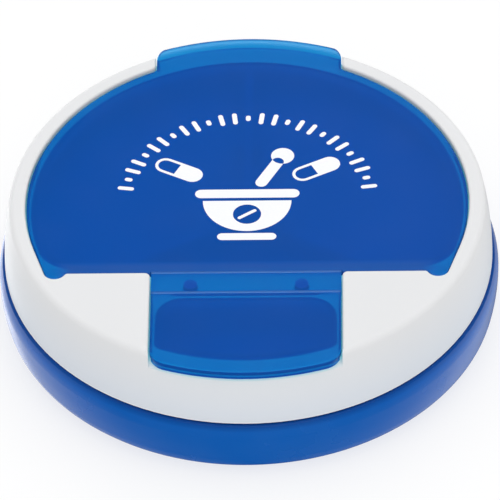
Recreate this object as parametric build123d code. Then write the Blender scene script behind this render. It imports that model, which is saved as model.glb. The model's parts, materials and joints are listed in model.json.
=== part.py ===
"""Round hand-twist pill crusher with a flip-lid pill store in its cap.

A blue bowl holds a hard threaded crushing cup. The white cap carries a threaded ram that screws into
the cup, a divided pill tray, and a translucent two-flap lid on living hinges. Turning the cap lowers
the ribbed ram plate on to the ribbed anvil plate. Units are millimetres, +Z is up, and the origin is
the centre of the face that the base stands on. The small flap is at the front, towards -Y.
"""
import os
from math import acos, atan2, cos, hypot, radians, sin, tan

from build123d import *

# ---------------------------------------------------------------- driving dimensions
BODY_R = 40.85          # widest radius of the blue bowl
SEAM_R = 39.85          # lower edge of the white cap
RIM_R = 40.2            # outer edge of the bowl's rim
SEAM_Z = 11.35          # height of the seam between bowl and cap
SIDE_LEAN = 11.5        # degrees that the cap's bulged side leans in at its top
DECK_Z = 23.2           # flat top of the white cap
LID_TOP_Z = 22.7        # top face of both flaps and of the hinge bar
LID_R = 35.9            # round edge of the large flap
FLAP_HALF_W = 15.3      # half width of the small flap, the hinge bar and the thumb tab
LIP_R = 39.6            # outer edge of the finger lip
TAB_R = 40.7            # outer edge of the thumb tab
WALL = 1.6              # main wall of the mouldings
GAP = 0.17              # running gap round a flap
LEAD = 6.0              # cap travel per turn: two starts at 3 mm

# ---------------------------------------------------------------- derived levels and outlines
LID_T = 1.2
LID_Z = LID_TOP_Z - LID_T             # underside of both flaps
RECESS_Z = LID_Z - 0.25               # floor of the recess that the flaps lie in
LEDGE_Z = RECESS_Z - 1.65             # underside of the ledge round the openings
LID_HINGE_Y = -16.3
FLAP_HINGE_Y = -20.95
LOBE_Y = -16.5                        # straight edge of the large flap beside its hinge
WEB_HALF = 0.25                       # half the length of a living hinge
WEB_T = 0.3
OPENING_R = 35.2                      # round edge of the store's opening
OPENING_Y = -14.4                     # straight edge of the store's opening
EAR_X, EAR_Y, EAR_R = 30.85, -16.15, 1.6
LIP_INNER_R = 38.5                    # where the flap thickens into its lip
SKIRT_Z = LEDGE_Z + 0.5               # lower edge of the locating skirts
LIP_Z = LID_TOP_Z - 1.55              # underside of the lip and of the tab's edge
SHOULDER_R = 1.1                      # edge radius of the cap
DECK_EDGE_R = 0.4                     # rounded edges of the deck's cut-outs
CAVITY_R = 37.7                       # inside of the cap's skirt
POST_X, POST_Y, POST_R = 8.95, -19.05, 1.15

TRAY_R = 37.4
TRAY_Z = 13.2                         # underside of the tray
TRAY_T = 1.2
TRAY_TOP_Z = LEDGE_Z - 0.05
POCKET_HALF_W = 15.2
POCKET_BACK_Y = -21.7
DRIVE_ANGLES = (45, 135, 225, 315)    # keys that turn the tray with the cap

FOOT_Z = 0.4                          # underside of the bowl, above the pad that it stands on
FLOOR_Z = 2.4                         # inside floor of the bowl
PAD_IN_R, PAD_OUT_R = 22.5, 33.0
BOLT_R = 19.5                         # circle of both screw sets
BOLT_ANGLES = (90, 210, 330)

BORE_R = 15.0                         # wall of the threaded cup
CUP_R = 17.0
CUP_Z = FLOOR_Z + 0.05
CUP_TOP_Z = 10.8
CORE_R = 13.8                         # core of the threaded ram
THREAD_H = 0.9                        # ridge height: 0.3 clear of the opposite wall
RIDGE_ROOT_W, RIDGE_CREST_W = 1.6, 0.9
FLANGE_Z = 12.0                       # underside of the ram's flange
PLATE_T = 0.8
RIB_H = 0.65
ANVIL_Z = CUP_Z + WALL                # underside of the anvil plate
RAM_FACE_Z = ANVIL_Z + PLATE_T + RIB_H + 0.35


# ---------------------------------------------------------------- helpers
def tube(outer, inner, low, high):
    """A ring round Z from height low to height high."""
    return Pos(0, 0, low) * extrude(Circle(outer) - Circle(inner), high - low)


def disc(radius, low, high, x=0.0, y=0.0):
    return Pos(x, y, low) * extrude(Circle(radius), high - low)


def block(x0, x1, y0, y1, z0, z1):
    return Pos((x0 + x1) / 2, (y0 + y1) / 2, (z0 + z1) / 2) * Box(x1 - x0, y1 - y0, z1 - z0)


def prism(sketch, low, high):
    return Pos(0, 0, low) * extrude(sketch, high - low)


def on_circle(radius, angles):
    return [(radius * cos(radians(a)), radius * sin(radians(a))) for a in angles]


def turned(*edges):
    """A solid of revolution from edges in the XZ plane."""
    return revolve(make_face(Plane.XZ * Wire(edges)), Axis.Z)


def band(y_low, y_high, x_half=60.0):
    """A rectangle from y_low to y_high, for trimming sketches."""
    return Pos(0, (y_low + y_high) / 2) * Rectangle(2 * x_half, y_high - y_low)


def one_solid(shape):
    """The single solid of a shape whose cuts left just one."""
    solids = shape.solids()
    return max(solids, key=lambda s: s.volume)


def thread_ridges(root_r, crest_r, start_z, start_angle, turn):
    """Two ridges of a two-start right-hand thread, each turning through the angle turn."""
    step = 1 if crest_r > root_r else -1
    embed = -0.2 * step
    height = step * THREAD_H
    ridges = []
    for start in (0, 180):
        path = Helix(LEAD, LEAD * turn / 360, root_r)
        face = make_face(
            Plane(path @ 0, x_dir=(1, 0, 0), z_dir=path % 0)
            * Polyline(
                (embed, -RIDGE_ROOT_W / 2),
                (0, -RIDGE_ROOT_W / 2),
                (height, -RIDGE_CREST_W / 2),
                (height, RIDGE_CREST_W / 2),
                (0, RIDGE_ROOT_W / 2),
                (embed, RIDGE_ROOT_W / 2),
                close=True,
            )
        )
        ridge = sweep(face, path=path, is_frenet=True)
        ridges.append(Pos(0, 0, start_z) * Rot(0, 0, start_angle + start) * ridge)
    return ridges


def ribbed_plate(radius, low, high, crest_z):
    """A round plate with raised radial ribs that run up or down to crest_z."""
    plate = disc(radius, low, high)
    face_z = high if crest_z > high else low
    root_z = face_z - 0.1 if crest_z > high else face_z + 0.1
    rib = extrude(
        Plane.YZ
        * make_face(Polyline((-0.8, root_z), (-0.2, crest_z), (0.2, crest_z), (0.8, root_z), close=True)),
        radius - 4.0,
    )
    for k in range(12):
        plate += Rot(0, 0, 30 * k) * Pos(3.2, 0, 0) * rib
    plate += disc(2.4, min(root_z, crest_z), max(root_z, crest_z))
    return plate


# ---------------------------------------------------------------- outlines of the two flaps
def lid_outline(margin):
    """The large flap: a disc cut off beside its hinge. A round ear runs out of each end of the cut."""
    shape = Circle(LID_R + margin) & band(LOBE_Y - margin, 60)
    swing = acos((LID_R - EAR_R) / hypot(EAR_X, EAR_Y))
    heading = atan2(EAR_Y, EAR_X) + swing
    out_x, out_y = cos(heading), sin(heading)
    for side in (-1, 1):
        on_lid = (side * out_x * (LID_R + margin), out_y * (LID_R + margin))
        on_ear = (side * (EAR_X + out_x * (EAR_R + margin)), EAR_Y + out_y * (EAR_R + margin))
        shape += make_face(Polyline((0, 0), on_lid, on_ear, (side * EAR_X, EAR_Y), close=True))
        shape += Pos(side * EAR_X, EAR_Y) * Circle(EAR_R + margin)
    inner_joins = [v for v in shape.vertices() if abs(v.Y - LOBE_Y + margin) < 0.01 and abs(v.X) < EAR_X]
    return fillet(inner_joins, 0.6)


def tab_outline():
    """The thumb tab at the back of the large flap."""
    tab = Circle(TAB_R) & band(24, 60, FLAP_HALF_W)
    return fillet([v for v in tab.vertices() if v.Y > 30], 3.6)


def flap_outline():
    """The small flap: straight sides, a round front edge and rounded front corners."""
    flap = Circle(LIP_R) & band(-60, FLAP_HINGE_Y - WEB_HALF, FLAP_HALF_W)
    return fillet([v for v in flap.vertices() if v.Y < -30], 3.5)


def recess_outline():
    """The shallow seat in the deck: room for the large flap, the bar and both finger tabs."""
    slot_w = FLAP_HALF_W + GAP
    seat = lid_outline(GAP) + band(24, 60, slot_w) + band(-60, LID_HINGE_Y + 1, slot_w)
    corners = [v for v in seat.vertices() if abs(abs(v.X) - slot_w) < 0.01 and abs(v.Y) < 40]
    return fillet(corners, 0.9)


def store_opening():
    """The large opening in the cap, with wide corners that leave a seat for the ears."""
    opening = Circle(OPENING_R) & band(OPENING_Y, 60)
    return fillet(opening.vertices(), 6.0)


def pocket_opening():
    """The small opening under the front flap."""
    opening = Circle(35.8) & band(-60, -21.35, 14.6)
    opening = fillet([v for v in opening.vertices() if v.Y > -25], 4.5)
    return fillet([v for v in opening.vertices() if v.Y < -30], 1.5)


# ---------------------------------------------------------------- base body
def base_shell():
    """The blue bowl: bulged side, round lower edge, recess for the pad and three countersunk holes."""
    lean = radians(12)
    corner_r = 4.2
    belly_z = 9.0
    rim_z = SEAM_Z - 0.12
    knee_z = FOOT_Z + corner_r * (1 - sin(lean))
    knee_r = BODY_R - (belly_z - knee_z) * (1 - cos(lean)) / sin(lean)
    low_r = knee_r - corner_r * cos(lean)
    inner_knee = (knee_r - WALL, knee_z + 1.2)
    outer = [
        Line((0, FOOT_Z), (low_r, FOOT_Z)),
        TangentArc((low_r, FOOT_Z), (knee_r, knee_z), tangent=(1, 0)),
        TangentArc((BODY_R, belly_z), (knee_r, knee_z), tangent=(0, -1)),
        TangentArc((BODY_R, belly_z), (RIM_R, rim_z), tangent=(0, 1)),
    ]
    inner = [
        Line((RIM_R, rim_z), (39.2, rim_z)),
        Line((39.2, rim_z), (39.15, belly_z)),
        Line((39.15, belly_z), inner_knee),
        TangentArc((35.8, FLOOR_Z), inner_knee, tangent=(1, 0)),
        Line((35.8, FLOOR_Z), (0, FLOOR_Z)),
        Line((0, FLOOR_Z), (0, FOOT_Z)),
    ]
    bowl = turned(*outer, *inner)
    rim = bowl.edges().filter_by(GeomType.CIRCLE).filter_by(lambda e: abs(e.radius - RIM_R) < 0.01)
    bowl = fillet(rim, 0.2)
    bowl -= tube(PAD_OUT_R, PAD_IN_R, FOOT_Z - 1, FOOT_Z + 0.9)
    for x, y in on_circle(BOLT_R, BOLT_ANGLES):
        bowl -= disc(1.2, FOOT_Z - 1, FLOOR_Z + 1, x, y)
        bowl -= disc(2.3, FOOT_Z - 1, FOOT_Z + 1.0, x, y)
    return bowl


def base_pad():
    """The soft ring that the crusher stands on, with three shallow grooves."""
    pad = tube(PAD_OUT_R - 0.05, PAD_IN_R + 0.05, 0, FOOT_Z + 0.85)
    for radius in (25.2, 27.8, 30.4):
        pad -= tube(radius + 0.25, radius - 0.25, -1, 0.3)
    return pad


def crush_cup():
    """The hard cup: a threaded bore over a flat floor, with three screw bosses."""
    cup = disc(CUP_R, CUP_Z, CUP_TOP_Z) - disc(BORE_R, ANVIL_Z - 0.05, CUP_TOP_Z + 1)
    for x, y in on_circle(BOLT_R, BOLT_ANGLES):
        boss = disc(2.6, CUP_Z, 8.0, x, y) - disc(CUP_R - 0.5, CUP_Z - 1, 9.0)
        cup += boss
        cup -= disc(0.95, CUP_Z - 1, 7.0, x, y)
    start = CUP_TOP_Z - 4.2
    angle = (start - (ram_thread_z() - LEAD / 4)) * 360 / LEAD
    for ridge in thread_ridges(BORE_R, BORE_R - THREAD_H, start, angle, 180):
        cup += ridge
    return cup


def anvil_plate():
    return ribbed_plate(14.0, ANVIL_Z, ANVIL_Z + PLATE_T, ANVIL_Z + PLATE_T + RIB_H)


def screw(x, y, head_low, head_r, head_t, shank_top, shank_r):
    """A self-tapping screw with a round head, a cross recess and a blunt point, driven from below."""
    head = disc(head_r, head_low, head_low + head_t, x, y)
    head = fillet(head.edges().filter_by(GeomType.CIRCLE).sort_by(Axis.Z)[0], 0.3)
    shank = disc(shank_r, head_low + head_t - 0.1, shank_top, x, y)
    shank = chamfer(shank.edges().filter_by(GeomType.CIRCLE).sort_by(Axis.Z)[-1], 0.5)
    recess = Pos(x, y, head_low + 0.2) * (Box(2.2, 0.5, 0.8) + Box(0.5, 2.2, 0.8))
    return head + shank - recess


def cup_screws():
    """Three screws that hold the cup to the bowl from below."""
    return [screw(x, y, FOOT_Z + 0.05, 2.1, 0.9, 6.6, 0.9) for x, y in on_circle(BOLT_R, BOLT_ANGLES)]


# ---------------------------------------------------------------- seal and cap bodies
def seal_ring():
    """The ring that lies between the cup's rim and the ram's flange."""
    return Pos(0, 0, (CUP_TOP_Z + FLANGE_Z) / 2) * Torus(16.0, 0.5)


def ram_thread_z():
    """Height of the middle of the ram's thread where it starts, at angle 0."""
    return RAM_FACE_Z + RIDGE_ROOT_W / 2 + 0.1


def crusher_ram():
    """The hollow threaded plug with a seat for its plate below and a screwed flange above."""
    ram = disc(CORE_R, RAM_FACE_Z, FLANGE_Z + 0.1)
    ram += disc(15.35, CUP_TOP_Z + 0.15, FLANGE_Z + 0.1)
    ram += disc(22.6, FLANGE_Z, TRAY_Z - 0.05)
    ram -= disc(13.1, RAM_FACE_Z - 1, RAM_FACE_Z + RIB_H + PLATE_T + 0.05)
    ram -= disc(11.8, RAM_FACE_Z + 3.2, TRAY_Z + 1)
    for x, y in on_circle(BOLT_R, BOLT_ANGLES):
        ram -= disc(1.15, FLANGE_Z - 1, TRAY_Z + 1, x, y)
    for ridge in thread_ridges(CORE_R, CORE_R + THREAD_H, ram_thread_z(), 0, 200):
        ram += ridge
    return ram


def ram_plate():
    low = RAM_FACE_Z + RIB_H
    return ribbed_plate(13.05, low, low + PLATE_T, RAM_FACE_Z)


def ram_screws():
    """Three screws that hold the ram to the tray."""
    return [screw(x, y, FLANGE_Z - 1.05, 1.9, 1.0, 17.2, 0.9) for x, y in on_circle(BOLT_R, BOLT_ANGLES)]


def storage_tray():
    """The blue tub under the cap: three bays under the large lid and a pocket under the small flap."""
    floor_z = TRAY_Z + TRAY_T
    inner_r = TRAY_R - 1.3
    tray = disc(TRAY_R, TRAY_Z, TRAY_TOP_Z) - disc(inner_r, floor_z, TRAY_TOP_Z + 1)
    walls = block(-60, 60, LID_HINGE_Y - 0.6, LID_HINGE_Y + 0.6, floor_z - 0.1, TRAY_TOP_Z)
    walls += block(-16.4, 16.4, POCKET_BACK_Y, POCKET_BACK_Y + 0.9, floor_z - 0.1, TRAY_TOP_Z)
    for side in (-1, 1):
        x = side * (POCKET_HALF_W + 0.6)
        walls += block(x - 0.6, x + 0.6, -60, LID_HINGE_Y, floor_z - 0.1, TRAY_TOP_Z)
    for angle in BOLT_ANGLES:
        walls += Rot(0, 0, angle) * block(0, 36, -0.6, 0.6, floor_z - 0.1, TRAY_TOP_Z)
    tray += walls & disc(inner_r + 0.3, floor_z - 0.1, TRAY_TOP_Z)
    for angle in DRIVE_ANGLES:
        tray += Rot(0, 0, angle) * block(TRAY_R - 0.5, CAVITY_R + 0.45, -0.6, 0.6, TRAY_Z + 0.6, TRAY_TOP_Z)
    for x, y in on_circle(BOLT_R, BOLT_ANGLES):
        tray += disc(2.2, floor_z - 0.1, 18.4, x, y)
        tray -= disc(0.95, TRAY_Z - 1, 17.6, x, y)
    return tray


def tab_relief():
    """What is cut away under the finger tabs: a flat seat that rounds down to the side wall."""
    bend_x = 37.5
    bend_r = 2.0
    edge_x = bend_x + bend_r
    profile = [
        Line((33, RECESS_Z), (bend_x, RECESS_Z)),
        TangentArc((bend_x, RECESS_Z), (edge_x, RECESS_Z - bend_r), tangent=(1, 0)),
        Line((edge_x, RECESS_Z - bend_r), (45, RECESS_Z - bend_r)),
        Line((45, RECESS_Z - bend_r), (45, 30)),
        Line((45, 30), (33, 30)),
        Line((33, 30), (33, RECESS_Z)),
    ]
    half_w = FLAP_HALF_W + GAP
    return turned(*profile) & block(-half_w, half_w, -60, 60, 0, 60)


def seated_deck():
    """A blank for the top of the cap: the flaps' seat is sunk into it and its edges are rounded."""
    blank = disc(45, 0, DECK_Z) - prism(recess_outline(), RECESS_Z, 30)
    rims = [
        e for e in blank.edges()
        if abs(e.bounding_box().min.Z - DECK_Z) < 1e-3
        and abs(e.bounding_box().max.Z - DECK_Z) < 1e-3
        and (e @ 0.5).X ** 2 + (e @ 0.5).Y ** 2 < 44**2
    ]
    return fillet(rims, DECK_EDGE_R)


def upper_shell():
    """The white cap: flat deck, bulged side, skirt and spigot, with seats for flaps and hinge bar."""
    lean = radians(SIDE_LEAN)
    foot_z = SEAM_Z + 0.05
    skirt_edge = (SEAM_R, foot_z + 0.25)
    side_z = DECK_Z - SHOULDER_R * (1 - sin(lean))
    side_r = SEAM_R - (side_z - skirt_edge[1]) * tan(lean / 2)
    deck_edge = (side_r - SHOULDER_R * cos(lean), DECK_Z)
    profile = [
        Line((0, DECK_Z), deck_edge),
        TangentArc(deck_edge, (side_r, side_z), tangent=(1, 0)),
        TangentArc(skirt_edge, (side_r, side_z), tangent=(0, 1)),
        Line(skirt_edge, (SEAM_R - 0.25, foot_z)),
        Line((SEAM_R - 0.25, foot_z), (38.7, foot_z)),
        Line((38.7, foot_z), (38.6, 9.8)),
        Line((38.6, 9.8), (CAVITY_R, 9.8)),
        Line((CAVITY_R, 9.8), (CAVITY_R, TRAY_Z - 0.9)),
        Line((CAVITY_R, TRAY_Z - 0.9), (TRAY_R - 0.3, TRAY_Z - 0.45)),
        Line((TRAY_R - 0.3, TRAY_Z - 0.45), (CAVITY_R, TRAY_Z - 0.05)),
        Line((CAVITY_R, TRAY_Z - 0.05), (CAVITY_R, LEDGE_Z)),
        Line((CAVITY_R, LEDGE_Z), (0, LEDGE_Z)),
        Line((0, LEDGE_Z), (0, DECK_Z)),
    ]
    shell = turned(*profile) & seated_deck()
    shell -= tab_relief()
    shell -= prism(store_opening(), LEDGE_Z - 1, 30)
    shell -= prism(pocket_opening(), LEDGE_Z - 1, 30)
    for side in (-1, 1):
        shell -= disc(EAR_R + GAP, RECESS_Z - 0.35, 30, side * EAR_X, EAR_Y)
        shell -= disc(POST_R + 0.1, LEDGE_Z - 1, 30, side * POST_X, POST_Y)
        x0, x1 = sorted((side * 17.0, side * 60))
        hollow = disc(35.6, LEDGE_Z - 1, DECK_Z - 1.8) & block(x0, x1, -60, -18.4, 0, 60)
        shell -= hollow
    for angle in DRIVE_ANGLES:
        shell -= Rot(0, 0, angle) * block(CAVITY_R - 1, CAVITY_R + 0.55, -0.7, 0.7, TRAY_Z, LEDGE_Z)
    return shell


def hinge_bar():
    """The fixed bar between the two flaps, with two posts riveted over under the ledge."""
    bar = block(-FLAP_HALF_W, FLAP_HALF_W, FLAP_HINGE_Y + WEB_HALF, LID_HINGE_Y - WEB_HALF,
                RECESS_Z + 0.05, LID_TOP_Z)
    for side in (-1, 1):
        x = side * POST_X
        bar += disc(POST_R, LEDGE_Z - 0.5, RECESS_Z + 0.2, x, POST_Y)
        head = disc(1.7, LEDGE_Z - 0.85, LEDGE_Z - 0.05, x, POST_Y)
        bar += fillet(head.edges().filter_by(GeomType.CIRCLE).sort_by(Axis.Z)[0], 0.35)
    return bar


def hinge_web(y):
    """A living hinge: a thin strip level with the top faces."""
    clear = 0.02
    half = WEB_HALF - clear
    return block(-FLAP_HALF_W + 0.3, FLAP_HALF_W - 0.3, y - half, y + half, LID_TOP_Z - WEB_T, LID_TOP_Z)


# ---------------------------------------------------------------- flap bodies
def skirt(opening, y_low, y_high):
    """The thin wall under a flap that fits inside the opening, kept clear of the hinge."""
    outer = offset(opening, -0.25) & band(y_low, y_high)
    inner = offset(outer, -0.9)
    return prism(outer - inner, SKIRT_Z, LID_Z + 0.1)


def lip(outline):
    """The thicker outer strip of the finger lip or the thumb tab."""
    strip = prism(outline, LIP_Z, LID_Z + 0.5)
    strip = fillet(strip.faces().sort_by(Axis.Z)[0].edges(), 0.3)
    return strip - disc(LIP_INNER_R, 0, 60)


def tab_crown():
    """What is cut from the top of the thumb tab, so that it falls away towards its edge."""
    crest = (38.4, LID_TOP_Z)
    brow = (TAB_R - 0.3, LID_TOP_Z - 0.34)
    edge = (TAB_R + 0.1, LID_TOP_Z - 0.7)
    profile = [
        TangentArc(crest, brow, tangent=(1, 0)),
        Line(brow, edge),
        Line(edge, (45, LID_TOP_Z)),
        Line((45, LID_TOP_Z), (45, 30)),
        Line((45, 30), (38.4, 30)),
        Line((38.4, 30), crest),
    ]
    return turned(*profile) & block(-30, 30, 30, 60, 0, 60)


def level_edges(plate, z):
    """The edges of a flap's plate that lie at height z, without those at its living hinge."""
    found = []
    for edge in plate.edges():
        box = edge.bounding_box()
        middle = edge @ 0.5
        at_hinge = min(abs(middle.Y - LID_HINGE_Y), abs(middle.Y - FLAP_HINGE_Y)) < 0.45
        if abs(box.min.Z - z) < 1e-3 and abs(box.max.Z - z) < 1e-3:
            if not (at_hinge and abs(middle.X) < FLAP_HALF_W + 0.3):
                found.append(edge)
    return found


def rounded_plate(outline):
    """A flap's plate with rounded upper edges and eased lower ones."""
    plate = prism(outline, LID_Z, LID_TOP_Z)
    plate = fillet(level_edges(plate, LID_TOP_Z), 0.35)
    return chamfer(level_edges(plate, LID_Z), 0.45)


def storage_lid():
    """The large translucent flap with its ears, thumb tab and locating skirt."""
    outline = lid_outline(0) + tab_outline()
    joins = [v for v in outline.vertices() if abs(abs(v.X) - FLAP_HALF_W) < 0.01 and v.Y < 34]
    outline = fillet(joins, 0.9) - band(-60, LID_HINGE_Y + WEB_HALF, FLAP_HALF_W + GAP)
    plate = rounded_plate(outline) - tab_crown()
    return plate + skirt(store_opening(), LID_HINGE_Y + WEB_HALF + 0.05, 60) + lip(tab_outline())


def front_flap():
    """The small translucent flap with its finger lip and locating skirt."""
    plate = rounded_plate(flap_outline())
    return plate + skirt(pocket_opening(), -60, FLAP_HINGE_Y - WEB_HALF - 0.05) + lip(flap_outline())


# ---------------------------------------------------------------- write one file per piece
PIECES = {
    "base_shell": base_shell,
    "base_pad": base_pad,
    "crush_cup": crush_cup,
    "anvil_plate": anvil_plate,
    "cup_screws": cup_screws,
    "seal_ring": seal_ring,
    "crusher_ram": crusher_ram,
    "ram_plate": ram_plate,
    "ram_screws": ram_screws,
    "storage_tray": storage_tray,
    "upper_shell": upper_shell,
    "hinge_bar": hinge_bar,
    "lid_hinge_web": lambda: hinge_web(LID_HINGE_Y),
    "flap_hinge_web": lambda: hinge_web(FLAP_HINGE_Y),
    "storage_lid": storage_lid,
    "front_flap": front_flap,
}

os.makedirs("parts", exist_ok=True)
for name, make in PIECES.items():
    made = make()
    shape = Compound(children=made) if isinstance(made, list) else one_solid(made)
    export_step(shape, f"parts/{name}.step")
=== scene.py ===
"""Looks for the round pill crusher: its materials, the print on the lid and the living hinges.

Units are metres, in the frame of the CAD model: +Z up, the small front flap towards -Y.
"""

import json
from math import cos, pi, radians, sin

import bmesh
import bpy
from mathutils import Matrix, Quaternion, Vector


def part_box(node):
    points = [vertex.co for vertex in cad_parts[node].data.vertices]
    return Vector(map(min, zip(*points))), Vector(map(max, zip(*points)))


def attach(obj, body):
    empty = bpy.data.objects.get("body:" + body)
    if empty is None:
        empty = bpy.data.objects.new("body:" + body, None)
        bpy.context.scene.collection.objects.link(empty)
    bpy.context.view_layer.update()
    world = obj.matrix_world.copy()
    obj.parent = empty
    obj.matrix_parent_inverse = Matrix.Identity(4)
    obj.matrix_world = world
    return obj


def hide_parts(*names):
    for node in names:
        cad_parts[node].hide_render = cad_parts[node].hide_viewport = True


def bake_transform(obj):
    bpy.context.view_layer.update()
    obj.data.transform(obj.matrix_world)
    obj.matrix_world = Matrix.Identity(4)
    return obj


MM = 0.001
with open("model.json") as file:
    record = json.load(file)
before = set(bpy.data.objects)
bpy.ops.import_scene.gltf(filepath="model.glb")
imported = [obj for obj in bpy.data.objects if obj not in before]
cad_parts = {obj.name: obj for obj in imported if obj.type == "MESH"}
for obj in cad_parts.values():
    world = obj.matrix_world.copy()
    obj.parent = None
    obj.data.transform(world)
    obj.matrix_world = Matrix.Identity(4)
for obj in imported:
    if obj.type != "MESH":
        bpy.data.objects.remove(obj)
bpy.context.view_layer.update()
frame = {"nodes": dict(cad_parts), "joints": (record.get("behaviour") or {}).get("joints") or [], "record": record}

TOP_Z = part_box("storage_lid")[1].z      # top face of both flaps
RIM_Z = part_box("base_shell")[1].z       # top of the bowl
HINGE_Y = sum(corner.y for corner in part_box("lid_hinge_web")) / 2  # straight edge of the large flap
JOINTS = {joint["name"]: joint for joint in frame["joints"]}

INK_HALF_T = 0.012 * MM                 # half the thickness of the print

WEB_SINK = 0.02 * MM                    # a living hinge lies this far below the flaps' top faces
WEB_T = 0.28 * MM                       # its thickness along its two long edges
WEB_DIP = 0.03 * MM                     # hollow along the middle of its top
WEB_ARCH = 0.05 * MM                    # hollow along the middle of its underside
WEB_OVERLAP = 0.04 * MM                 # reach into the bar and into the flap
WEB_END_REACH = 0.33 * MM               # reach past the CAD strip at each end, to the bar's ends
WEB_STEPS, WEB_COLUMNS = 14, 48         # mesh steps across and along it

FLOOR_Z = -0.02 * MM                    # the table, just below the object
FLOOR_SIZE = 6.0


# ---------------------------------------------------------------- material helpers
class Shader:
    """A node material or world that is built one node at a time.

    coords are the object's own coordinates in metres, so a pattern stays on its piece as it moves.
    """

    def __init__(self, name, library=bpy.data.materials):
        self.owner = library.new(name)
        self.owner.use_nodes = True
        self.tree = self.owner.node_tree
        self.tree.nodes.clear()
        self.places = self.add("ShaderNodeTexCoord").outputs
        self.coords = self.places["Object"]

    def add(self, kind, inputs=None, **settings):
        node = self.tree.nodes.new(kind)
        for key, value in settings.items():
            setattr(node, key, value)
        for key, value in (inputs or {}).items():
            self.feed(node.inputs[key], value)
        return node

    def feed(self, socket, value):
        if isinstance(value, bpy.types.NodeSocket):
            self.tree.links.new(value, socket)
        else:
            socket.default_value = value

    def noise(self, size, detail=2.0, stretch=(1, 1, 1), rough=0.5):
        """Noise whose lumps are about size metres across, stretched along each axis."""
        place = self.add("ShaderNodeMapping", {"Vector": self.coords, "Scale": stretch})
        inputs = {
            "Vector": place.outputs[0], "Scale": 1 / size, "Detail": detail, "Roughness": rough,
        }
        return self.add("ShaderNodeTexNoise", inputs).outputs["Fac"]

    def remap(self, value, low, high, to_low=0.0, to_high=1.0):
        """The value carried from low..high to to_low..to_high, and held at the ends."""
        inputs = {
            "Value": value, "From Min": low, "From Max": high, "To Min": to_low, "To Max": to_high,
        }
        return self.add("ShaderNodeMapRange", inputs).outputs[0]

    def math(self, operation, a, b=0.0):
        return self.add("ShaderNodeMath", {0: a, 1: b}, operation=operation).outputs[0]

    def blend(self, factor, a, b):
        """A colour between a and b."""
        inputs = {"Factor": factor, 6: a, 7: b}
        return self.add("ShaderNodeMix", inputs, data_type="RGBA").outputs[2]

    def blend_value(self, factor, a, b):
        """A number between a and b."""
        return self.add("ShaderNodeMix", {"Factor": factor, 2: a, 3: b}).outputs[0]

    def split(self, vector):
        """The x, y and z of a vector."""
        return self.add("ShaderNodeSeparateXYZ", {0: vector}).outputs

    def distance_from(self, x, y):
        """How far a point is from x, y in plan."""
        level = {0: self.coords, 1: (1, 1, 0)}
        plan = self.add("ShaderNodeVectorMath", level, operation="MULTIPLY").outputs[0]
        apart = {0: plan, 1: (x, y, 0)}
        return self.add("ShaderNodeVectorMath", apart, operation="DISTANCE").outputs["Value"]

    def bump(self, height, depth, below=None):
        """A surface normal bent by height, which stands for depth metres."""
        inputs = {"Height": height, "Distance": depth, "Strength": 1.0}
        if below is not None:
            inputs["Normal"] = below
        return self.add("ShaderNodeBump", inputs).outputs[0]

    def plastic(self, inputs):
        return self.add("ShaderNodeBsdfPrincipled", inputs)

    def finish(self, shader, output="ShaderNodeOutputMaterial"):
        self.add(output, {"Surface": shader})
        return self.owner


def rgb(r, g, b):
    return (r, g, b, 1.0)


def moulded_skin(shader, grain=0.12 * MM, grain_depth=0.002 * MM, sink_depth=0.02 * MM):
    """The surface of a moulding: faint sink waves under a fine spark-eroded grain."""
    waves = shader.bump(shader.noise(9 * MM, 1.0), sink_depth)
    return shader.bump(shader.noise(grain, 3.0), grain_depth, waves)


def handling(shader, base, worn):
    """Roughness that changes with faint smears and hairline rubs."""
    smears = shader.remap(shader.noise(7 * MM, 4.0), 0.42, 0.7)
    rubs = shader.remap(shader.noise(0.5 * MM, 2.0, (1.0, 0.06, 1.0)), 0.64, 0.8, 0.0, 0.5)
    marks = shader.math("MAXIMUM", smears, rubs)
    return shader.remap(marks, 0.0, 1.0, base, worn)


# ---------------------------------------------------------------- materials
def blue_plastic():
    """Opaque royal blue moulding with a satin skin, and painted shade just below the seam."""
    s = Shader("blue_plastic")
    cloud = s.noise(14 * MM, 3.0)
    colour = s.blend(cloud, rgb(0.0025, 0.098, 0.43), rgb(0.0035, 0.114, 0.47))
    # Painted shade: the blue turns darker just below the seam, where the white skirt shades the bowl.
    painted_shade_blue_at_seam = rgb(0.001, 0.03, 0.20)
    height = s.split(s.coords)["Z"]
    painted_shade_below_seam = s.remap(height, RIM_Z - 0.9 * MM, RIM_Z, 0.0, 0.55)
    bsdf = s.plastic({
        "Base Color": s.blend(painted_shade_below_seam, colour, painted_shade_blue_at_seam),
        "Roughness": handling(s, 0.20, 0.30),
        "IOR": 1.48,
        # Painted shade in the reflection: the gloss weakens towards the bottom edge, where the floor would block
        # it.
        "Specular IOR Level": s.remap(height, 0.5 * MM, 4 * MM, 0.02, 0.2),
        "Normal": moulded_skin(s, grain_depth=0.001 * MM),
        "Subsurface Weight": 0.05,
        "Subsurface Radius": (0.2, 0.5, 1.0),
        "Subsurface Scale": 0.6 * MM,
    })
    return s.finish(bsdf.outputs[0])


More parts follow.
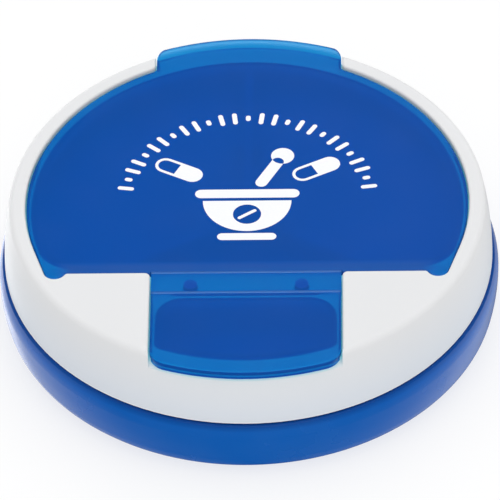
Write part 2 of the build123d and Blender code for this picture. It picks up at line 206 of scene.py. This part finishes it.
def white_plastic():
    """Slightly translucent white moulding, with painted shade on the side wall and a painted highlight along its
    thin lower edge.
    """
    s = Shader("white_plastic")
    flow = s.noise(18 * MM, 2.0, (1.0, 0.4, 1.0))
    deck = s.blend(flow, rgb(0.765, 0.772, 0.785), rgb(0.795, 0.80, 0.81))
    painted_side_shade_white = rgb(0.715, 0.755, 0.81)
    painted_edge_highlight_white = rgb(0.86, 0.88, 0.92)
    height = s.split(s.coords)["Z"]
    # Painted shade: below the flaps' top face the side wall turns darker and bluish.
    painted_side_shade = s.remap(height, TOP_Z, TOP_Z - 9 * MM)
    # Painted highlight: the lowest part of the skirt, just above the seam, turns pale.
    painted_edge_highlight = s.remap(height, RIM_Z + 0.8 * MM, RIM_Z + 0.4 * MM)
    side = s.blend(painted_side_shade, deck, painted_side_shade_white)
    bsdf = s.plastic({
        "Base Color": s.blend(painted_edge_highlight, side, painted_edge_highlight_white),
        "Roughness": handling(s, 0.34, 0.42),
        "IOR": 1.48,
        "Specular IOR Level": 0.04,
        "Normal": moulded_skin(s, 0.15 * MM),
        "Subsurface Weight": 0.2,
        "Subsurface Radius": (1.0, 1.0, 1.0),
        "Subsurface Scale": 0.9 * MM,
    })
    return s.finish(bsdf.outputs[0])


def clear_blue_plastic(
    name="clear_blue_plastic", body=(0.001, 0.118, 0.585), clarity=0.45, posts=(), dark_band_y=None
):
    """Cloudy tinted plastic: some light scatters at the outer face, and the rest passes through.

    body is the colour of the scattered light and clarity is the share that passes. Over solid posts
    the plastic looks deeper. Beside the line that the last argument gives, the straight edge of the large
    flap, it is darker and lets little light through, so the ledge below hardly shows.
    """
    s = Shader(name)
    path = s.add("ShaderNodeLightPath").outputs
    inside = s.add("ShaderNodeNewGeometry").outputs["Backfacing"]
    place = s.split(s.coords)
    swirl = s.noise(11 * MM, 3.0, (1.0, 0.5, 1.0))
    post_blue = rgb(0.004, 0.07, 0.40)
    dark_band_blue = rgb(0.012, 0.088, 0.39)
    red, green, blue = body
    scatter = s.add("ShaderNodeCombineColor", {
        # Painted sheen: the red of the scattered light rises from left to right, as under light from the right.
        "Red": s.remap(place["X"], -36 * MM, 36 * MM, red, red + 0.010),
        "Green": s.remap(swirl, 0.0, 1.0, green, 1.06 * green),
        "Blue": s.remap(swirl, 0.0, 1.0, blue, 1.04 * blue),
    }).outputs[0]
    tint = s.blend(swirl, rgb(0.08, 0.64, 0.82), rgb(0.10, 0.70, 0.86))
    through = clarity
    for x, y in posts:
        off_post = s.remap(s.distance_from(x, y), 0.95 * MM, 1.25 * MM, 0.15, 1.0)
        scatter = s.blend(off_post, post_blue, scatter)
        through = s.math("MULTIPLY", off_post, through)
    # A darker band along the straight edge of the large flap, which lets little light through.
    if dark_band_y is not None:
        aside = s.math("ABSOLUTE", s.math("SUBTRACT", place["Y"], dark_band_y))
        off_line = s.remap(aside, 1.6 * MM, 2.6 * MM)
        at_ear = s.remap(s.math("ABSOLUTE", place["X"]), 28.5 * MM, 31 * MM)
        off_band = s.math("MAXIMUM", off_line, at_ear)
        scatter = s.blend(off_band, dark_band_blue, scatter)
        through = s.math("MULTIPLY", s.remap(off_band, 0.0, 1.0, 0.1, 1.0), through)
    skin = moulded_skin(s, 0.2 * MM, 0.001 * MM)
    cloudy = s.plastic({
        "Base Color": scatter,
        "Roughness": handling(s, 0.21, 0.26),
        "IOR": 1.49,
        "Specular IOR Level": 0.2,
        "Normal": skin,
    })
    clear = s.add("ShaderNodeBsdfGlass", {
        "Color": tint,
        "Roughness": 0.05,
        "IOR": 1.45,
        "Normal": skin,
    })
    body_mix = s.add("ShaderNodeMixShader", {
        0: s.math("MAXIMUM", inside, through),
        1: cloudy.outputs[0],
        2: clear.outputs[0],
    })
    shade = s.blend(inside, rgb(0.20, 0.68, 0.80), rgb(0.35, 0.85, 0.94))
    passing = s.add("ShaderNodeBsdfTransparent", {"Color": shade})
    mixed = s.add("ShaderNodeMixShader", {
        0: s.math("MAXIMUM", path["Is Shadow Ray"], path["Is Diffuse Ray"]),
        1: body_mix.outputs[0],
        2: passing.outputs[0],
    })
    return s.finish(mixed.outputs[0])


def natural_plastic():
    """Hard uncoloured plastic, a little milky."""
    s = Shader("natural_plastic")
    cloud = s.noise(6 * MM, 3.0)
    bsdf = s.plastic({
        "Base Color": s.blend(cloud, rgb(0.80, 0.79, 0.74), rgb(0.87, 0.86, 0.81)),
        "Roughness": handling(s, 0.32, 0.45),
        "IOR": 1.5,
        "Normal": moulded_skin(s, 0.1 * MM),
        "Subsurface Weight": 0.35,
        "Subsurface Radius": (1.0, 0.9, 0.8),
        "Subsurface Scale": 1.2 * MM,
    })
    return s.finish(bsdf.outputs[0])


def steel():
    """Stainless steel with a circular brushed grain."""
    s = Shader("stainless")
    brush = s.noise(0.25 * MM, 4.0, (1.0, 0.03, 1.0))
    bsdf = s.plastic({
        "Base Color": s.blend(brush, rgb(0.52, 0.52, 0.50), rgb(0.68, 0.68, 0.66)),
        "Metallic": 1.0,
        "Roughness": s.remap(brush, 0.3, 0.7, 0.22, 0.38),
        "Normal": s.bump(brush, 0.002 * MM),
    })
    return s.finish(bsdf.outputs[0])


def rubber(name, dark, light, rough):
    """Matte rubber with a dusty bloom."""
    s = Shader(name)
    bloom = s.remap(s.noise(3 * MM, 5.0), 0.45, 0.75)
    bsdf = s.plastic({
        "Base Color": s.blend(bloom, dark, light),
        "Roughness": rough,
        "IOR": 1.45,
        "Normal": s.bump(s.noise(0.15 * MM, 3.0), 0.01 * MM),
    })
    return s.finish(bsdf.outputs[0])


def print_ink():
    """White pad-printed ink: slightly uneven cover and a soft gloss."""
    s = Shader("print_ink")
    cover = s.noise(0.3 * MM, 4.0)
    bsdf = s.plastic({
        "Base Color": s.blend(cover, rgb(0.90, 0.92, 0.96), rgb(0.98, 0.98, 0.99)),
        "Roughness": 0.45,
        "IOR": 1.45,
        "Normal": s.bump(cover, 0.003 * MM),
    })
    return s.finish(bsdf.outputs[0])


def floor_paint():
    """A table that glows almost white, so that shadows on it stay soft. It is clear from below."""
    s = Shader("floor_paint")
    cloud = s.noise(200 * MM, 2.0)
    bsdf = s.plastic({
        "Base Color": s.blend(cloud, rgb(0.24, 0.24, 0.24), rgb(0.26, 0.26, 0.26)),
        "Roughness": 0.9,
        "Specular IOR Level": 0.1,
        "Emission Color": rgb(1.0, 1.0, 1.0),
        "Emission Strength": 0.745,
    })
    top_side = s.add("ShaderNodeMixShader", {
        0: s.add("ShaderNodeNewGeometry").outputs["Backfacing"],
        1: bsdf.outputs[0],
        2: s.add("ShaderNodeBsdfTransparent").outputs[0],
    })
    return s.finish(top_side.outputs[0])


# ---------------------------------------------------------------- mesh helpers
def mesh_object(name, mesh, material, smooth=True):
    """An object in the scene with one material."""
    obj = bpy.data.objects.new(name, mesh)
    bpy.context.scene.collection.objects.link(obj)
    obj.data.materials.clear()
    obj.data.materials.append(material)
    for polygon in obj.data.polygons:
        polygon.use_smooth = smooth
    return obj


def arc_points(cx, cy, radius, start, stop, steps):
    """Points on an arc from start to stop degrees."""
    angles = [radians(start + (stop - start) * k / steps) for k in range(steps + 1)]
    return [(cx + radius * cos(a), cy + radius * sin(a)) for a in angles]


def turned_points(points, angle, cx, cy):
    """The points turned by angle degrees about the origin, then moved to cx, cy."""
    c, s = cos(radians(angle)), sin(radians(angle))
    return [(cx + c * x - s * y, cy + s * x + c * y) for x, y in points]


def stadium(length, width):
    """A bar along X with round ends."""
    half, r = length / 2 - width / 2, width / 2
    steps = 10
    return arc_points(half, 0, r, -90, 90, steps) + arc_points(-half, 0, r, 90, 270, steps)


# ---------------------------------------------------------------- print on the lid
def emblem_loops():
    """Outlines in millimetres: a mortar and pestle with two capsules. Inner loops are holes."""
    tablet_y = -2.7
    capsule_turn, capsule_x, capsule_y = 28, 11.2, 8.0
    window_x, window_r, window_end_x = -2.5, 1.2, -0.3

    rim = turned_points(stadium(17.0, 2.0), 0, 0, 2.2)
    bowl = arc_points(0, 0.5, 7.2, 180, 360, 32)
    tablet = arc_points(0, tablet_y, 2.3, 0, 360, 28)[:-1]
    score = turned_points(stadium(3.6, 0.6), 35, 0, tablet_y)
    foot = turned_points(stadium(9.6, 1.6), 0, 0, -8.0)
    rod = turned_points(stadium(7.6, 2.0), 62, 3.6, 7.3)
    knob = arc_points(5.7, 11.2, 1.9, 0, 360, 28)[:-1]
    loops = [rim, bowl, tablet, score, foot, rod, knob]

    shell = stadium(8.4, 3.4)
    window = arc_points(window_x, 0, window_r, 90, 270, 10)
    window += [(window_end_x, -window_r), (window_end_x, window_r)]
    for side in (-1, 1):
        for outline in (shell, window):
            loops.append(turned_points(outline, side * capsule_turn, side * capsule_x, capsule_y))
    return loops


def tick_loops():
    """An arch of small bars over the emblem. Every third one is short."""
    count = 27
    first_angle, last_angle = 172.0, 8.0
    arch_y, arch_half_w, arch_h = 1.0, 20.0, 19.4
    short, long, width = 1.3, 2.7, 0.8
    loops = []
    for k in range(count):
        angle = first_angle + (last_angle - first_angle) * k / (count - 1)
        length = short if k % 3 == 1 else long
        x = arch_half_w * cos(radians(angle))
        y = arch_y + arch_h * sin(radians(angle))
        loops.append(turned_points(stadium(length, width), angle, x, y))
    return loops


def printed(name, loops, material):
    """A thin layer of ink on the lid with the given outlines."""
    curve = bpy.data.curves.new(name, "CURVE")
    curve.dimensions = "2D"
    curve.fill_mode = "BOTH"
    curve.extrude = INK_HALF_T
    for loop in loops:
        spline = curve.splines.new("POLY")
        spline.points.add(len(loop) - 1)
        spline.use_cyclic_u = True
        for point, (x, y) in zip(spline.points, loop):
            point.co = (x * MM, y * MM, 0.0, 1.0)
    shape = bpy.data.objects.new(name + "_outline", curve)
    bpy.context.scene.collection.objects.link(shape)
    filled = shape.evaluated_get(bpy.context.evaluated_depsgraph_get())
    mesh = bpy.data.meshes.new_from_object(filled)
    bpy.data.objects.remove(shape)
    mesh.transform(Matrix.Translation((0, 0, TOP_Z + INK_HALF_T)))
    obj = mesh_object(name, mesh, material, smooth=False)
    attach(obj, "storage_lid")


# ---------------------------------------------------------------- living hinges
def post_centres(node):
    """The middle of the left and the right post under the hinge bar."""
    points = [v.co for v in node.data.vertices]
    foot_z = min(p.z for p in points) + 0.2 * MM
    centres = []
    for side in (-1, 1):
        ends = [p for p in points if p.z < foot_z and p.x * side > 0]
        xs, ys = [p.x for p in ends], [p.y for p in ends]
        centres.append(((min(xs) + max(xs)) / 2, (min(ys) + max(ys)) / 2))
    return centres


def living_hinge(name, node, joint, material):
    """A thin flexible strip between the bar and a flap. The joint's axis tells which side the bar is on."""
    low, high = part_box(node)
    x_left, x_right = low.x - WEB_END_REACH, high.x + WEB_END_REACH
    if JOINTS[joint]["axis"][0] > 0:
        y_bar, y_flap = low.y - WEB_OVERLAP, high.y + WEB_OVERLAP
    else:
        y_bar, y_flap = high.y + WEB_OVERLAP, low.y - WEB_OVERLAP
    top = TOP_Z - WEB_SINK
    across = [k / WEB_STEPS for k in range(WEB_STEPS + 1)]
    section = [(t, top - WEB_DIP * sin(pi * t)) for t in across]
    section += [(t, top - (WEB_T - WEB_ARCH * sin(pi * t))) for t in reversed(across)]
    bm = bmesh.new()
    rings = []
    for i in range(WEB_COLUMNS + 1):
        x = x_left + (x_right - x_left) * i / WEB_COLUMNS
        rings.append([bm.verts.new((x, y_bar + (y_flap - y_bar) * t, z)) for t, z in section])
    for a, b in zip(rings, rings[1:]):
        for k in range(len(section)):
            after = (k + 1) % len(section)
            bm.faces.new((a[k], b[k], b[after], a[after]))
    bm.faces.new(rings[0])
    bm.faces.new(rings[-1][::-1])
    bmesh.ops.recalc_face_normals(bm, faces=bm.faces)
    mesh = bpy.data.meshes.new(name)
    bm.to_mesh(mesh)
    bm.free()
    obj = mesh_object(name, mesh, material)
    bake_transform(obj)
    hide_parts(node)


# ---------------------------------------------------------------- stage
def studio_floor():
    """A wide table just below the object. No reflection shows it."""
    bpy.ops.mesh.primitive_plane_add(size=FLOOR_SIZE, location=(0, 0, FLOOR_Z))
    plane = bpy.context.object
    plane.name = "floor"
    plane.data.materials.append(floor_paint())
    plane.visible_glossy = False


def studio_world():
    """A bright dome, dimmer to the sides. The camera sees plain white.

    Glossy surfaces see bright walls at the sides and the back, and little in front and above.
    """
    s = Shader("studio", bpy.data.worlds)
    way = s.split(s.places["Generated"])
    from_zenith = s.remap(way["Z"], 0.0, 1.0, 0.86, 1.38)
    side_level = s.remap(way["X"], -1.0, 1.0, 0.10, 0.35)
    side_fall = s.remap(s.math("MULTIPLY", way["X"], way["X"]), 0.0, 1.0, 1.0, side_level)
    dome = s.math("MULTIPLY", from_zenith, side_fall)

    low_only = s.remap(way["Z"], 0.05, 0.45, 1.0, 0.03)
    front_to_back = s.remap(way["Y"], -0.6, 0.45, 0.02, 2.8)
    back_dimmer = s.remap(way["Y"], 0.35, 0.75, 1.0, 0.55)
    beside = s.math("MULTIPLY", s.math("ABSOLUTE", way["X"]), low_only)
    walls = s.math("MULTIPLY", front_to_back, s.math("MULTIPLY", beside, back_dimmer))

    to_left = s.remap(way["X"], -0.05, -0.35)
    back_left = s.math("MULTIPLY", to_left, s.remap(way["Y"], 0.45, 0.7, 0.0, 2.4))
    off_floor = s.remap(way["Z"], 0.20, 0.35)
    behind = s.math("MULTIPLY", s.remap(way["Y"], 0.77, 0.90, 0.0, 3.6), off_floor)
    shine = s.math("ADD", walls, s.math("MULTIPLY", back_left, low_only))
    shine = s.math("ADD", shine, behind)

    path = s.add("ShaderNodeLightPath").outputs
    lit = s.blend_value(path["Is Glossy Ray"], dome, shine)
    strength = s.blend_value(path["Is Camera Ray"], lit, 1.0)
    glow = s.add("ShaderNodeBackground", {"Color": rgb(1.0, 1.0, 1.0), "Strength": strength})
    bpy.context.scene.world = s.finish(glow.outputs[0], "ShaderNodeOutputWorld")
    s.owner.cycles.sampling_method = "NONE"


def studio_light():
    """One weak square softbox, high and a little in front."""
    place = Vector((0.0, -0.1, 0.8))
    aim = Vector((0, 0, 0.01))
    light = bpy.data.lights.new("top", "AREA")
    light.shape = "SQUARE"
    light.size = 0.5
    light.energy = 0.5
    obj = bpy.data.objects.new("top", light)
    bpy.context.scene.collection.objects.link(obj)
    obj.location = place
    obj.rotation_mode = "QUATERNION"
    obj.rotation_quaternion = (aim - place).to_track_quat("-Z", "Y")


def photo_camera():
    """A long lens at the photograph's angle: 43 degrees above the table, with a small roll."""
    distance = 1.2
    elevation = radians(43.27)
    azimuth = radians(1.6)
    roll = radians(-1.59)
    target = Vector((0, 0, 12 * MM))
    back = Vector((
        sin(azimuth) * cos(elevation),
        -cos(azimuth) * cos(elevation),
        sin(elevation),
    ))
    camera = bpy.data.cameras.new("camera")
    camera.sensor_width = 36.0
    camera.lens = 528.6
    camera.shift_x = 0.0030
    camera.shift_y = 0.0016
    camera.clip_start = 0.05
    camera.clip_end = 20.0
    obj = bpy.data.objects.new("camera", camera)
    bpy.context.scene.collection.objects.link(obj)
    obj.location = target + back * distance
    obj.rotation_mode = "QUATERNION"
    obj.rotation_quaternion = (-back).to_track_quat("-Z", "Y") @ Quaternion((0, 0, 1), roll)
    bpy.context.scene.camera = obj


# ---------------------------------------------------------------- the scene
materials = {
    "blue_plastic": blue_plastic(),
    "white_plastic": white_plastic(),
    "clear_blue_plastic": clear_blue_plastic(),
    "natural_plastic": natural_plastic(),
    "stainless": steel(),
    "pad_rubber": rubber("pad_rubber", rgb(0.03, 0.03, 0.035), rgb(0.07, 0.07, 0.075), 0.75),
    "seal_rubber": rubber("seal_rubber", rgb(0.42, 0.05, 0.03), rgb(0.50, 0.09, 0.06), 0.55),
}
for part in frame["record"]["subparts"]:
    node = frame["nodes"][part["node"]]
    node.data.materials.clear()
    node.data.materials.append(materials[part["material_slot"]])
lid = frame["nodes"]["storage_lid"]
lid.data.materials[0] = clear_blue_plastic("lid_blue_plastic", dark_band_y=HINGE_Y)
bar = frame["nodes"]["hinge_bar"]
bar.data.materials[0] = clear_blue_plastic("bar_blue_plastic", posts=post_centres(bar))

ink = print_ink()
printed("lid_print_emblem", emblem_loops(), ink)
printed("lid_print_ticks", tick_loops(), ink)
crease = clear_blue_plastic("creased_blue_plastic", body=(0.06, 0.20, 0.60), clarity=0.35)
living_hinge("lid_hinge_strip", "lid_hinge_web", "lid_hinge", crease)
living_hinge("flap_hinge_strip", "flap_hinge_web", "flap_hinge", crease)

studio_floor()
studio_world()
studio_light()
photo_camera()
bpy.context.scene.view_settings.view_transform = "Standard"
